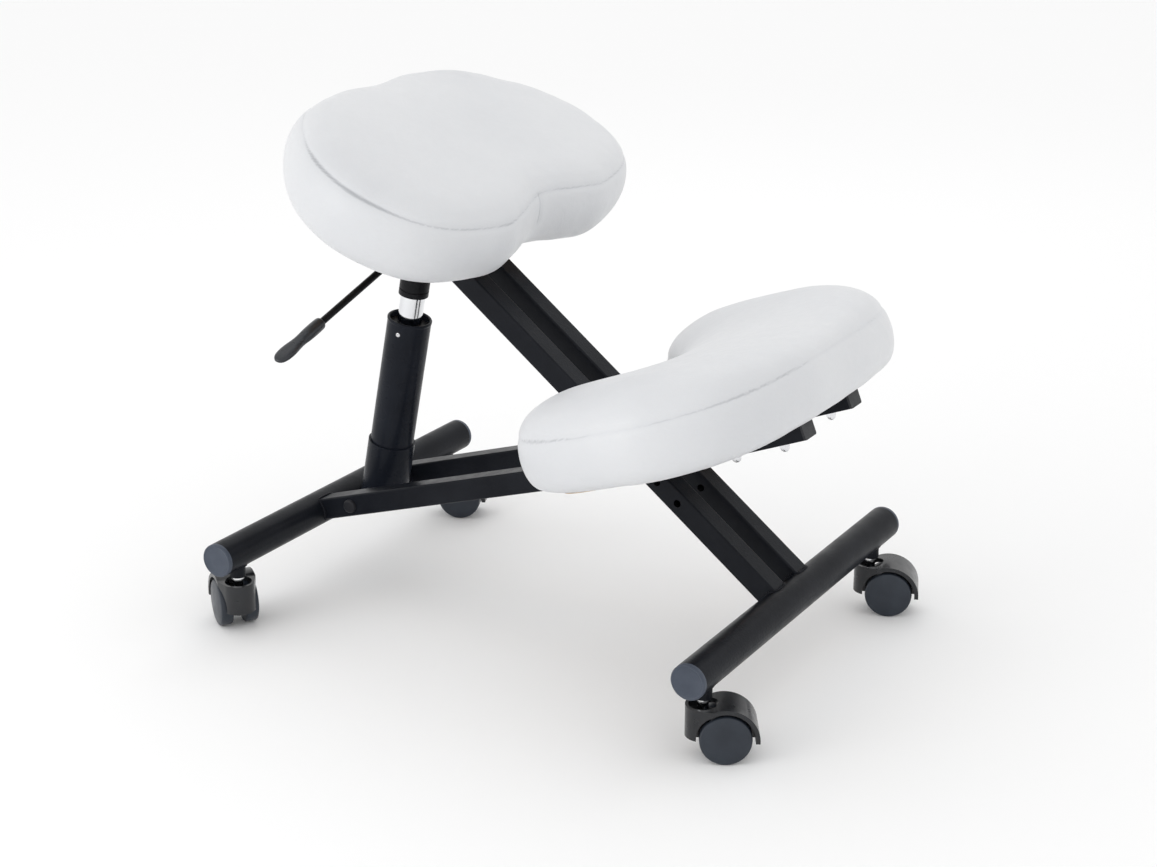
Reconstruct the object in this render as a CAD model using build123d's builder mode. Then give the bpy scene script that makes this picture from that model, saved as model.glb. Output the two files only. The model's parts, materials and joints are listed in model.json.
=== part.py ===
"""Kneeling chair: a crossed tube frame on twin-wheel casters, a gas-lift column,
a saddle seat and a crescent knee pad.  Millimetres, +Z up, +X forward (the way the
sitter faces), +Y to the sitter's left.  The origin is on the floor, under the middle
of the whole chair."""
import os
from math import cos, radians, sin, sqrt

from build123d import *

os.makedirs("parts", exist_ok=True)

# ---- driving dimensions -------------------------------------------------------------
# running gear
wheelbase = 586.0            # rear axle tube to front axle tube
front_axle_x = 292.03        # front axle ahead of the origin
axle_height = 95.0           # axle tube centre above the floor
axle_length = 472.0          # tube only, without its end caps
axle_radius = 19.0
axle_wall = 2.0
cap_flange = 5.0             # how far an end cap stands out of its tube
cap_plug = 18.0              # how far it reaches inside
caster_inset = 30.0          # caster stem to the end of the axle tube

# crossed frame of square tube
square = 25.0
square_wall = 1.5
square_corner = 2.2
beam_rise = 37.7             # slope of the long beams, degrees
beam_offset = 26.8           # beam centre from the middle of the chair
strut_offset = 56.0          # strut centre from the middle of the chair
cross_distance = 216.0       # front axle to the crossing pivot, along the beam
beam_reach = 540.0           # front axle to the seat pivot, along the beam
beam_tail = 13.0             # beam beyond the seat pivot
spare_pitch = 31.5           # spare crossing holes, one step apart
spare_holes = 2
spare_radius = 4.25
rail_rise = 22.0             # slope of the struts under the knee pad, degrees
rail_length = 218.0          # crossing pivot to the rail's end
bend_radius = 70.0
column_setback = 58.8        # rear axle to the column pivot, along the strut
column_lean = 11.2           # column tilt from upright, degrees
bolt_radius = 5.0
fit = 0.05                   # radial running clearance of pins and bolts
loop_play = 1.3              # radial play of the beams on the seat bolt

# gas-lift column, heights along its own axis from the column pivot
socket_radius = 27.2
socket_top = 63.0
tube_radius = 25.0
tube_wall = 1.8
tube_floor = 14.0
tube_top = 218.0
bush_length = 92.0
cylinder_radius = 14.0
cylinder_foot = 60.0
cone_start = 250.0
cone_radius_top = 13.0
cylinder_top = 309.0
rod_radius = 5.0
piston_height = 142.0

# seat
seat_slope = 23.0            # seat surface tilts forwards by this, degrees
seat_rise = 34.2             # seat pivot to the underside of the seat board
seat_shift = -20.0           # cushion middle from the seat pivot, along the slope
seat_thickness = 88.0
seat_half_width = 239.0
seat_rear = 151.0            # cushion middle to its rear edge
seat_notch = 115.0           # cushion middle to the bottom of its front notch
seat_lobe = 134.0            # cushion middle to the front of each thigh lobe
board_thickness = 12.0
board_inset = 47.0

# knee pad
pad_slope = 19.5             # the foam is a little thicker at the back than the front
pad_board_inset = 38.0
pad_thickness = 92.0
pad_half_width = 250.0
pad_front = 162.0            # pad middle to its front edge
pad_notch = -55.0            # pad middle to the bottom of its rear notch
pad_tips = -134.0            # pad middle to the rear tips of its lobes
pad_position = 91.0          # crossing pivot to the pad middle, along the rail
pad_bolt_rows = (39.0, 97.0)     # the board's bolts ahead of the pad middle

# lever
lever_height = 320.3         # where the lever's line crosses the column axis
lever_droop = 19.1
lever_radius = 3.9
lever_pivot_y = -24.0
lever_tip_y = -245.0
paddle_length = 76.0

# casters
wheel_radius = 26.5
wheel_inner = 7.5            # middle of the caster to a wheel's inner face
wheel_outer = 21.5
wheel_dome = 2.6
trail = 22.0
hood_half_width = 22.0
hood_play = 3.0              # wheel to hood
hood_wall = 4.5
cup_radius = 18.0
cup_top = 58.0
hood_bottom = 24.0
stem_radius = 5.5
boss_radius = 9.0
boss_bottom = 65.0
wheel_pin_radius = 3.0
headings = {"front_right": 30.7, "front_left": 22.0, "rear_right": 144.0, "rear_left": 22.0}

# ---- places worked out from them ----------------------------------------------------
front_axle = Vector(front_axle_x, 0, axle_height)
rear_axle = Vector(front_axle_x - wheelbase, 0, axle_height)
beam_dir = Vector(-cos(radians(beam_rise)), 0, sin(radians(beam_rise)))
cross = front_axle + beam_dir * cross_distance
seat_pivot = front_axle + beam_dir * beam_reach
strut_dir = (cross - rear_axle).normalized()
rail_dir = Vector(cos(radians(rail_rise)), 0, sin(radians(rail_rise)))
rail_up = Vector(-rail_dir.Z, 0, rail_dir.X)
column_pivot = rear_axle + strut_dir * column_setback
column_up = Vector(sin(radians(column_lean)), 0, cos(radians(column_lean)))
column_fwd = Vector(column_up.Z, 0, -column_up.X)
seat_up = Vector(sin(radians(seat_slope)), 0, cos(radians(seat_slope)))
seat_fwd = Vector(seat_up.Z, 0, -seat_up.X)
column_plane = Plane(origin=column_pivot, x_dir=column_fwd, z_dir=column_up)
seat_plane = Plane(origin=seat_pivot + seat_up * seat_rise, x_dir=seat_fwd, z_dir=seat_up)
pad_plane = Plane(origin=cross + rail_dir * pad_position + rail_up * (square / 2),
                  x_dir=rail_dir, z_dir=rail_up)
pad_fwd = Vector(cos(radians(pad_slope)), 0, sin(radians(pad_slope)))
pad_up = Vector(-pad_fwd.Z, 0, pad_fwd.X)
inner_gap = 2 * beam_offset - square          # between the two beams
side_gap = strut_offset - beam_offset - square    # between a beam and its strut
frame_half = strut_offset + square / 2        # outside of the struts
sides = {"right": -1, "left": 1}


def side_view(y):
    """Upright plane at y, drawn in X and Z; extrusions run towards -Y."""
    return Plane.XZ.offset(-y)


def flat(point):
    """A point's place in a side view."""
    return (point.X, point.Z)


def save(part, name):
    """Label a finished piece and write it."""
    part.label = name
    export_step(part, f"parts/{name}.step")


# ---- axle tubes, end caps, caster bosses and stems ----------------------------------
def make_axle(end, centre):
    """One axle tube with its caps, the two stem bosses and the two caster stems."""
    half = axle_length / 2
    stems = [(centre.X, side * (half - caster_inset)) for side in (-1, 1)]

    with BuildPart() as tube:
        with BuildSketch(side_view(half)):
            with Locations(flat(centre)):
                Circle(axle_radius)
                Circle(axle_radius - axle_wall, mode=Mode.SUBTRACT)
        extrude(amount=axle_length)
        with BuildSketch(Plane.XY):
            with Locations(*stems):
                Circle(boss_radius)
        extrude(amount=axle_height, mode=Mode.SUBTRACT)
    save(tube.part, f"{end}_axle_tube")

    with BuildPart() as caps:
        with BuildSketch(side_view(half + cap_flange)):
            with Locations(flat(centre)):
                Circle(axle_radius)
        extrude(amount=cap_flange)
        fillet(caps.faces().sort_by(Axis.Y)[-1].edges(), radius=1.6)
        with BuildSketch(side_view(half)):
            with Locations(flat(centre)):
                Circle(axle_radius - axle_wall - 0.1)
                Circle(axle_radius - axle_wall - 2.1, mode=Mode.SUBTRACT)
        extrude(amount=cap_plug - 4)
        mirror(about=Plane.XZ)
    save(caps.part, f"{end}_axle_caps")

    with BuildPart() as bosses:
        with BuildSketch(Plane.XY.offset(boss_bottom)):
            with Locations(*stems):
                Circle(boss_radius)
                Circle(stem_radius + fit, mode=Mode.SUBTRACT)
        extrude(amount=axle_height + 4 - boss_bottom)
    save(bosses.part, f"{end}_caster_bosses")

    with BuildPart() as pins:
        with BuildSketch(Plane.XY.offset(hood_bottom + 11)):
            with Locations(*stems):
                Circle(stem_radius)
        extrude(amount=axle_height + 2 - hood_bottom - 11)
        with BuildSketch(Plane.XY.offset(boss_bottom - 4)):
            with Locations(*stems):
                Circle(stem_radius + 2)
        extrude(amount=4)
    save(pins.part, f"{end}_caster_stems")


make_axle("front", front_axle)
make_axle("rear", rear_axle)

# ---- long beams: front axle to the seat pivot ---------------------------------------
beam_length = beam_reach + beam_tail
beam_holes = [(cross_distance, bolt_radius + fit), (beam_reach, bolt_radius + loop_play)]
for step in range(1, spare_holes + 1):
    beam_holes.append((cross_distance - step * spare_pitch, spare_radius))

for name, side in sides.items():
    with BuildPart() as beam:
        start = front_axle + Vector(0, side * beam_offset, 0)
        with BuildSketch(Plane(origin=start, x_dir=(0, 1, 0), z_dir=beam_dir)):
            RectangleRounded(square, square, square_corner)
            inner = square - 2 * square_wall
            RectangleRounded(inner, inner, square_corner - square_wall, mode=Mode.SUBTRACT)
        extrude(amount=beam_length)
        with BuildSketch(side_view(side * beam_offset + square)):
            with Locations(flat(front_axle)):
                Circle(axle_radius)
        extrude(amount=2 * square, mode=Mode.SUBTRACT)
        for distance, radius in beam_holes:
            with BuildSketch(side_view(side * beam_offset + square)):
                with Locations(flat(front_axle + beam_dir * distance)):
                    Circle(radius)
            extrude(amount=2 * square, mode=Mode.SUBTRACT)
    save(beam.part, f"beam_{name}")

with BuildPart() as beam_plugs:
    for side in sides.values():
        tip = front_axle + beam_dir * beam_length + Vector(0, side * beam_offset, 0)
        with BuildSketch(Plane(origin=tip, x_dir=(0, 1, 0), z_dir=beam_dir)):
            RectangleRounded(square, square, square_corner)
        extrude(amount=1.2)
        with BuildSketch(Plane(origin=tip, x_dir=(0, 1, 0), z_dir=-beam_dir)):
            Rectangle(square - 2 * square_wall - 0.4, square - 2 * square_wall - 0.4)
        extrude(amount=4)
save(beam_plugs.part, "beam_plugs")

with BuildPart() as cross_spacer:
    with BuildSketch(side_view(inner_gap / 2)):
        with Locations(flat(cross)):
            Circle(bolt_radius + 4)
            Circle(bolt_radius + fit, mode=Mode.SUBTRACT)
    extrude(amount=inner_gap)
save(cross_spacer.part, "cross_spacer")

# ---- struts: rear axle, crossing pivot, then the rails under the knee pad -----------
rail_end = cross + rail_dir * rail_length
pad_bolts = [cross + rail_dir * (pad_position + shift) for shift in pad_bolt_rows]
for name, side in sides.items():
    with BuildPart() as strut:
        offset_y = Vector(0, side * strut_offset, 0)
        with BuildLine():
            FilletPolyline(rear_axle + offset_y, cross + offset_y, rail_end + offset_y,
                           radius=bend_radius)
        with BuildSketch(Plane(origin=rear_axle + offset_y, x_dir=(0, 1, 0), z_dir=strut_dir)):
            RectangleRounded(square, square, square_corner)
            inner = square - 2 * square_wall
            RectangleRounded(inner, inner, square_corner - square_wall, mode=Mode.SUBTRACT)
        sweep()
        with BuildSketch(side_view(side * strut_offset + square)):
            with Locations(flat(rear_axle)):
                Circle(axle_radius)
        extrude(amount=2 * square, mode=Mode.SUBTRACT)
        for place in (cross, column_pivot):
            with BuildSketch(side_view(side * strut_offset + square)):
                with Locations(flat(place)):
                    Circle(bolt_radius + fit)
            extrude(amount=2 * square, mode=Mode.SUBTRACT)
        for place in pad_bolts:
            with BuildSketch(Plane(origin=place + offset_y, x_dir=(0, 1, 0), z_dir=rail_up)):
                Circle(3 + fit)
            extrude(amount=square, both=True, mode=Mode.SUBTRACT)
    save(strut.part, f"strut_{name}")

with BuildPart() as strut_plugs:
    for side in sides.values():
        tip = rail_end + Vector(0, side * strut_offset, 0)
        with BuildSketch(Plane(origin=tip, x_dir=(0, 1, 0), z_dir=rail_dir)):
            RectangleRounded(square, square, square_corner)
        extrude(amount=2.5)
        with BuildSketch(Plane(origin=tip, x_dir=(0, 1, 0), z_dir=-rail_dir)):
            Rectangle(square - 2 * square_wall - 0.4, square - 2 * square_wall - 0.4)
        extrude(amount=12)
save(strut_plugs.part, "strut_plugs")

# ---- pivot bolts across the frame ---------------------------------------------------
head_height = 4.2
head_radius = 8.0
nut_height = 8.0


def across_bolt(place, reach, radius=bolt_radius):
    """Dome-headed bolt across the chair, head on the right, thread on the left."""
    with BuildPart() as bolt:
        with BuildSketch(side_view(reach + nut_height + 2)):
            with Locations(flat(place)):
                Circle(radius)
        extrude(amount=2 * reach + nut_height + 2)
        with BuildSketch(side_view(-reach)):
            with Locations(flat(place)):
                Circle(head_radius)
        extrude(amount=head_height)
        fillet(bolt.faces().sort_by(Axis.Y)[0].edges(), radius=head_height * 0.7)
    return bolt.part


def across_nut(place, reach, radius=bolt_radius):
    """Hexagon nut on the left-hand end of such a bolt."""
    with BuildPart() as nut:
        with BuildSketch(side_view(reach + nut_height)):
            with Locations(flat(place)):
                RegularPolygon(head_radius, 6, major_radius=False)
                Circle(radius + fit, mode=Mode.SUBTRACT)
        extrude(amount=nut_height)
    return nut.part


with BuildPart() as frame_bolts:
    add(across_bolt(cross, frame_half))
    add(across_bolt(column_pivot, frame_half))
save(frame_bolts.part, "frame_bolts")
with BuildPart() as frame_nuts:
    add(across_nut(cross, frame_half))
    add(across_nut(column_pivot, frame_half))
save(frame_nuts.part, "frame_nuts")

with BuildPart() as cross_washers:
    for side in sides.values():
        with BuildSketch(side_view(side * (beam_offset + strut_offset) / 2 + side_gap / 2 - fit)):
            with Locations(flat(cross)):
                Circle(bolt_radius + 6)
                Circle(bolt_radius + fit, mode=Mode.SUBTRACT)
        extrude(amount=side_gap - 2 * fit)
save(cross_washers.part, "cross_washers")

# ---- column: socket, tube and the inside of the gas lift ----------------------------
sleeve_half = strut_offset - square / 2 - 6.0
with BuildPart() as column_socket:
    with BuildSketch(column_plane.offset(-13)):
        Circle(socket_radius)
    extrude(amount=socket_top + 13)
    with BuildSketch(side_view(sleeve_half)):
        with Locations(flat(column_pivot)):
            Circle(bolt_radius + 4.5)
    extrude(amount=2 * sleeve_half)
    with BuildSketch(column_plane.offset(tube_floor)):
        Circle(tube_radius + fit)
    extrude(amount=socket_top, mode=Mode.SUBTRACT)
    with BuildSketch(column_plane.offset(10.5)):
        Circle(9)
    extrude(amount=socket_top, mode=Mode.SUBTRACT)
    with BuildSketch(side_view(sleeve_half)):
        with Locations(flat(column_pivot)):
            Circle(bolt_radius + fit)
    extrude(amount=2 * sleeve_half, mode=Mode.SUBTRACT)
save(column_socket.part, "column_socket")

with BuildPart() as column_spacers:
    for side in sides.values():
        length = strut_offset - square / 2 - sleeve_half - 2 * fit
        middle = (strut_offset - square / 2 + sleeve_half) / 2
        with BuildSketch(side_view(side * middle + length / 2)):
            with Locations(flat(column_pivot)):
                Circle(bolt_radius + 5)
                Circle(bolt_radius + fit, mode=Mode.SUBTRACT)
        extrude(amount=length)
save(column_spacers.part, "column_spacers")

with BuildPart() as column_tube:
    with BuildSketch(column_plane.offset(tube_floor)):
        Circle(tube_radius)
        Circle(rod_radius - 1 + fit, mode=Mode.SUBTRACT)
    extrude(amount=3)
    with BuildSketch(column_plane.offset(tube_floor)):
        Circle(tube_radius)
        Circle(tube_radius - tube_wall, mode=Mode.SUBTRACT)
    extrude(amount=tube_top - tube_floor)
save(column_tube.part, "column_tube")

bush_top = tube_top - 7
with BuildPart() as guide_bush:
    with BuildSketch(column_plane.offset(bush_top - bush_length)):
        Circle(tube_radius - tube_wall - fit)
        Circle(cylinder_radius + fit, mode=Mode.SUBTRACT)
    extrude(amount=bush_length)
save(guide_bush.part, "guide_bush")

with BuildPart() as thrust_bearing:
    with BuildSketch(column_plane.offset(tube_floor + 3)):
        Circle(13)
        Circle(rod_radius + fit, mode=Mode.SUBTRACT)
    extrude(amount=4)
save(thrust_bearing.part, "thrust_bearing")

with BuildPart() as bump_stop:
    with BuildSketch(column_plane.offset(tube_floor + 7)):
        Circle(11)
        Circle(rod_radius + fit, mode=Mode.SUBTRACT)
    extrude(amount=11)
save(bump_stop.part, "bump_stop")

with BuildPart() as piston_rod:
    with BuildSketch(column_plane.offset(tube_floor - 3)):
        Circle(rod_radius - 1)
    extrude(amount=6)
    with BuildSketch(column_plane.offset(tube_floor + 3)):
        Circle(rod_radius)
    extrude(amount=piston_height - tube_floor - 3)
    with BuildSketch(column_plane.offset(piston_height)):
        Circle(cylinder_radius - 2.5 - fit)
    extrude(amount=10)
save(piston_rod.part, "piston_rod")

with BuildPart() as retaining_clip:
    with BuildSketch(column_plane.offset(tube_floor - 1.8)):
        Circle(7.5)
        Circle(rod_radius - 1 + fit, mode=Mode.SUBTRACT)
    extrude(amount=1.6)
save(retaining_clip.part, "retaining_clip")

# ---- seat carrier: cylinder, cone socket, bracket, pivot bolt, board and cushion -----
with BuildPart() as gas_cylinder:
    with BuildSketch(column_plane.offset(cylinder_foot)):
        Circle(cylinder_radius)
    extrude(amount=cone_start - cylinder_foot)
    with BuildSketch(column_plane.offset(cone_start)):
        Circle(cylinder_radius)
    with BuildSketch(column_plane.offset(cylinder_top)):
        Circle(cone_radius_top)
    loft()
    with BuildSketch(column_plane.offset(cylinder_foot)):
        Circle(rod_radius + fit)
    extrude(amount=12, mode=Mode.SUBTRACT)
    with BuildSketch(column_plane.offset(cylinder_foot + 10)):
        Circle(cylinder_radius - 2.5)
    extrude(amount=cone_start - cylinder_foot - 20, mode=Mode.SUBTRACT)
    with BuildSketch(column_plane.offset(cone_start + 20)):
        Circle(4 + fit)
    extrude(amount=cylinder_top, mode=Mode.SUBTRACT)
save(gas_cylinder.part, "gas_cylinder")

button_centre = lever_height - 8.7
with BuildPart() as release_pin:
    with BuildSketch(column_plane.offset(cone_start + 30)):
        Circle(4)
    extrude(amount=button_centre - cone_start - 30)
    with Locations(column_plane.offset(button_centre)):
        Sphere(4)
save(release_pin.part, "release_pin")

socket_wall = 3.0
web_height = 293.0
sheet = 3.0
collar_bottom = 248.0
socket_length = 306.0 - collar_bottom
with BuildPart() as cone_socket:
    with BuildSketch(column_plane.offset(collar_bottom)):
        Circle(cylinder_radius + socket_wall)
    extrude(amount=socket_length)
    with BuildSketch(column_plane.offset(cone_start)):
        Circle(cylinder_radius + fit)
    with BuildSketch(column_plane.offset(cylinder_top)):
        Circle(cone_radius_top + fit)
    loft(mode=Mode.SUBTRACT)
    with BuildSketch(column_plane.offset(collar_bottom - 1)):
        Circle(cylinder_radius + fit)
    extrude(amount=cone_start - collar_bottom + 1, mode=Mode.SUBTRACT)
    with BuildSketch(column_plane.offset(collar_bottom + 6)):
        Circle(cylinder_radius + socket_wall + 1)
        Circle(cylinder_radius + socket_wall - 0.9, mode=Mode.SUBTRACT)
    extrude(amount=1.6, mode=Mode.SUBTRACT)
save(cone_socket.part, "cone_socket")

ear_inside = beam_offset + square / 2 + 0.7
web_rear = -40.0
web_front = 10.0
ear_radius = 14.0
plate_rear = -96.0
plate_front = 34.0


def column_point(forward, height):
    """A point given in the column's own directions."""
    return column_pivot + column_fwd * forward + column_up * height


slope = radians(lever_droop)
lever_dir = Vector(0, -cos(slope), 0) - column_up * sin(slope)
lever_pivot = column_point(0, lever_height) + lever_dir * (-lever_pivot_y / cos(slope))
lug_height = (lever_pivot - column_pivot).dot(column_up)


def seat_point(forward, up):
    """A point given along and square to the seat's underside."""
    return seat_plane.origin + seat_fwd * forward + seat_up * up


with BuildPart() as seat_bracket:
    for side in sides.values():
        outside = max(side * ear_inside, side * (ear_inside + sheet))
        with BuildSketch(side_view(outside)):
            with Locations(flat(seat_pivot)):
                Circle(ear_radius)
            corners = [column_point(web_rear, web_height), column_point(web_front, web_height),
                       seat_point(plate_front - 6, -sheet), seat_point(plate_rear + 8, -sheet)]
            with BuildLine():
                Polyline([flat(corner) for corner in corners], close=True)
            make_face()
            make_hull()
        extrude(amount=sheet)
    with BuildSketch(column_plane.offset(web_height)):
        with Locations(((web_rear + web_front + 6) / 2, 0)):
            Rectangle(web_front + 6 - web_rear, 2 * ear_inside)
    extrude(amount=sheet)
    with BuildSketch(column_plane.offset(web_height - 1)):
        Circle(cylinder_radius + socket_wall)
    extrude(amount=sheet + 2, mode=Mode.SUBTRACT)
    with BuildSketch(side_view(ear_inside + 2 * sheet)):
        with Locations(flat(seat_pivot)):
            Circle(bolt_radius + fit)
    extrude(amount=2 * ear_inside + 4 * sheet, mode=Mode.SUBTRACT)
    slot_height = lever_height - (ear_inside + sheet / 2) * 0.346 + 1.2
    with BuildSketch(Plane(origin=column_point(0, slot_height) - Vector(0, ear_inside - 1, 0),
                           x_dir=column_up, z_dir=(0, -1, 0))):
        SlotOverall(15, 10)
    extrude(amount=sheet + 3, mode=Mode.SUBTRACT)
    for near_face in (-7.1, 4.6):
        with BuildSketch(Plane(origin=column_pivot + column_fwd * near_face,
                               x_dir=(0, 1, 0), z_dir=column_fwd)):
            with Locations((lever_pivot_y, (web_height + sheet + lug_height) / 2)):
                Rectangle(9, lug_height - web_height - sheet)
            with Locations((lever_pivot_y, lug_height)):
                Circle(4.5)
                Circle(2 + fit, mode=Mode.SUBTRACT)
        extrude(amount=2.5)
save(seat_bracket.part, "seat_bracket")

plate_half = 76.0
bolt_spots = [(forward, y) for forward in (plate_rear + 16, plate_front - 16) for y in (-60, 60)]
with BuildPart() as seat_plate:
    with BuildSketch(seat_plane.offset(-sheet)):
        with Locations(((plate_rear + plate_front) / 2, 0)):
            RectangleRounded(plate_front - plate_rear, 2 * plate_half, 8)
        with Locations(*bolt_spots):
            Circle(3.3, mode=Mode.SUBTRACT)
    extrude(amount=sheet)
save(seat_plate.part, "seat_plate")

with BuildPart() as seat_bolts:
    with BuildSketch(seat_plane.offset(-sheet - 4)):
        with Locations(*bolt_spots):
            RegularPolygon(5, 6, major_radius=False)
    extrude(amount=4)
    with BuildSketch(seat_plane.offset(-sheet)):
        with Locations(*bolt_spots):
            Circle(3)
    extrude(amount=sheet + board_thickness - 1)
save(seat_bolts.part, "seat_bolts")

seat_reach = ear_inside + sheet
save(across_bolt(seat_pivot, seat_reach), "seat_pivot_bolt")
save(across_nut(seat_pivot, seat_reach), "seat_pivot_nut")

with BuildPart() as seat_pivot_spacer:
    with BuildSketch(side_view(inner_gap / 2 - 0.4)):
        with Locations(flat(seat_pivot)):
            Circle(bolt_radius + 3)
            Circle(bolt_radius + fit, mode=Mode.SUBTRACT)
    extrude(amount=inner_gap - 0.8)
save(seat_pivot_spacer.part, "seat_pivot_spacer")


def outline(points, shrink=0.0):
    """Smooth closed outline through the right half's points and their mirror images."""
    ring = [(points[1][0], -points[1][1])] + points + [(points[-2][0], -points[-2][1])]
    half = []
    for before, here, after in zip(ring, ring[1:], ring[2:]):
        along = (Vector(*after) - Vector(*before)).normalized()
        half.append((here[0] + along.Y * shrink, here[1] - along.X * shrink))
    with BuildSketch() as shape:
        with BuildLine():
            Spline(*half, tangents=((0, -1), (0, 1)))
            Spline(*[(x, -y) for x, y in half], tangents=((0, 1), (0, -1)))
        make_face()
    return shape.sketch


seat_points = [(seat_notch, 0), (seat_notch + 13, -57), (seat_lobe, -105),
               (seat_lobe - 22, -182), (seat_lobe - 64, -224), (0, -seat_half_width),
               (-seat_rear * 0.48, -213), (-seat_rear * 0.88, -146), (-seat_rear - 2, -68),
               (-seat_rear, 0)]
board_holes = [(forward - seat_shift, y) for forward, y in bolt_spots]
seat_middle = Plane(origin=seat_point(seat_shift, 0), x_dir=seat_fwd, z_dir=seat_up)

seat_outline = outline(seat_points)
seat_board_outline = outline(seat_points, board_inset)
seat_recess = outline(seat_points, board_inset - 0.3)

with BuildPart() as seat_board:
    with BuildSketch(seat_middle):
        add(seat_board_outline)
        with Locations(*board_holes):
            Circle(3.1, mode=Mode.SUBTRACT)
    extrude(amount=board_thickness)
save(seat_board.part, "seat_board")

with BuildPart() as seat_cushion:
    with BuildSketch(seat_middle):
        add(seat_outline)
    extrude(amount=seat_thickness)
    fillet(seat_cushion.faces().sort_by(Axis((0, 0, 0), tuple(seat_up)))[-1].edges(), radius=26)
    with BuildSketch(seat_middle):
        add(seat_recess)
    extrude(amount=board_thickness + 0.3, mode=Mode.SUBTRACT)
save(seat_cushion.part, "seat_cushion")

# ---- lever --------------------------------------------------------------------------
rod_start = lever_pivot - lever_dir * (-(lever_pivot_y - 4) / cos(slope))
lever_full = -lever_tip_y / cos(slope)
paddle_start = column_point(0, lever_height) + lever_dir * (lever_full - paddle_length)

with BuildPart() as lever_rod:
    with BuildSketch(Plane(origin=rod_start, x_dir=column_fwd, z_dir=lever_dir)):
        Circle(lever_radius)
    extrude(amount=(paddle_start - rod_start).length + 28)
    with BuildSketch(Plane(origin=lever_pivot - column_fwd * 8, x_dir=(0, 1, 0), z_dir=column_fwd)):
        Circle(2 + fit)
    extrude(amount=16, mode=Mode.SUBTRACT)
save(lever_rod.part, "lever_rod")

with BuildPart() as lever_pin:
    with BuildSketch(Plane(origin=lever_pivot - column_fwd * 8, x_dir=(0, 1, 0), z_dir=column_fwd)):
        Circle(2)
    extrude(amount=16)
save(lever_pin.part, "lever_pin")

with BuildPart() as lever_paddle:
    flat_plane = Plane(origin=paddle_start, x_dir=lever_dir, z_dir=column_fwd.cross(lever_dir))
    with BuildSketch(flat_plane):
        with BuildLine():
            Polyline((0, 5.5), (3, 7.2), (26, 7.4), (36, 6.6))
            Spline((36, 6.6), (50, 8.8), (64, 8.6), (paddle_length, 0),
                   tangents=((1, -0.05), (0, -1)))
            Line((paddle_length, 0), (0, 0))
            Line((0, 0), (0, 5.5))
        make_face()
        mirror(about=Plane.XZ)
    extrude(amount=9, both=True)
    with BuildSketch(Plane(origin=paddle_start, x_dir=lever_dir, z_dir=-column_fwd)):
        with BuildLine():
            Polyline((0, 5.5), (3, 7), (24, 7), (44, 3.4), (70, 3.2), (paddle_length, 0.8),
                     (paddle_length, -1.4), (70, -3.4), (44, -3.6), (24, -7), (3, -7), (0, -5.5),
                     close=True)
        make_face()
    extrude(amount=20, both=True, mode=Mode.INTERSECT)
    with BuildSketch(Plane(origin=paddle_start, x_dir=column_fwd, z_dir=lever_dir)):
        Circle(lever_radius + fit)
    extrude(amount=28.2, mode=Mode.SUBTRACT)
save(lever_paddle.part, "lever_paddle")

# ---- knee pad -----------------------------------------------------------------------
pad_points = [(pad_front, 0), (pad_front - 2, -80), (pad_front - 14, -155),
              (pad_front - 46, -212), (pad_front - 102, -pad_half_width + 4),
              (0, -pad_half_width), (pad_tips + 68, -240), (pad_tips + 16, -208),
              (pad_tips, -155), (pad_tips + 22, -95), (pad_notch - 17, -48), (pad_notch, 0)]
pad_bolt_spots = [(row, side * strut_offset) for row in pad_bolt_rows for side in (-1, 1)]
foam_plane = Plane(origin=pad_plane.origin - pad_up * 8, x_dir=pad_fwd, z_dir=pad_up)
pad_board_thickness = 12.0

pad_outline = outline(pad_points)
pad_board_outline = outline(pad_points, pad_board_inset)
pad_recess = outline(pad_points, pad_board_inset - 0.3)

with BuildPart() as knee_board:
    with BuildSketch(pad_plane):
        add(pad_board_outline)
        with Locations(*pad_bolt_spots):
            Circle(3.1, mode=Mode.SUBTRACT)
    extrude(amount=pad_board_thickness)
save(knee_board.part, "knee_board")

with BuildPart() as knee_cushion:
    with BuildSketch(foam_plane):
        add(pad_outline)
    extrude(amount=pad_thickness + 8)
    fillet(knee_cushion.faces().sort_by(Axis((0, 0, 0), tuple(pad_up)))[-1].edges(), radius=30)
    with BuildSketch(pad_plane.offset(0.3)):
        Rectangle(3 * pad_half_width, 3 * pad_half_width)
    extrude(amount=-60, mode=Mode.SUBTRACT)
    with BuildSketch(pad_plane):
        add(pad_recess)
    extrude(amount=pad_board_thickness + 0.3, mode=Mode.SUBTRACT)
save(knee_cushion.part, "knee_cushion")

with BuildPart() as knee_bolts:
    with BuildSketch(pad_plane.offset(-square - 7)):
        with Locations(*pad_bolt_spots):
            Circle(3)
    extrude(amount=square + 7 + pad_board_thickness - 1)
save(knee_bolts.part, "knee_bolts")

with BuildPart() as knee_dome_nuts:
    with BuildSketch(pad_plane.offset(-square - 4)):
        with Locations(*pad_bolt_spots):
            RegularPolygon(5.2, 6, major_radius=False)
    extrude(amount=4)
    with Locations(*[pad_plane.offset(-square - 4) * Location((x, y, 0)) for x, y in pad_bolt_spots]):
        Sphere(4.9)
    with BuildSketch(pad_plane.offset(-square - 7.05)):
        with Locations(*pad_bolt_spots):
            Circle(3 + fit)
    extrude(amount=8, mode=Mode.SUBTRACT)
save(knee_dome_nuts.part, "knee_dome_nuts")


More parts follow.
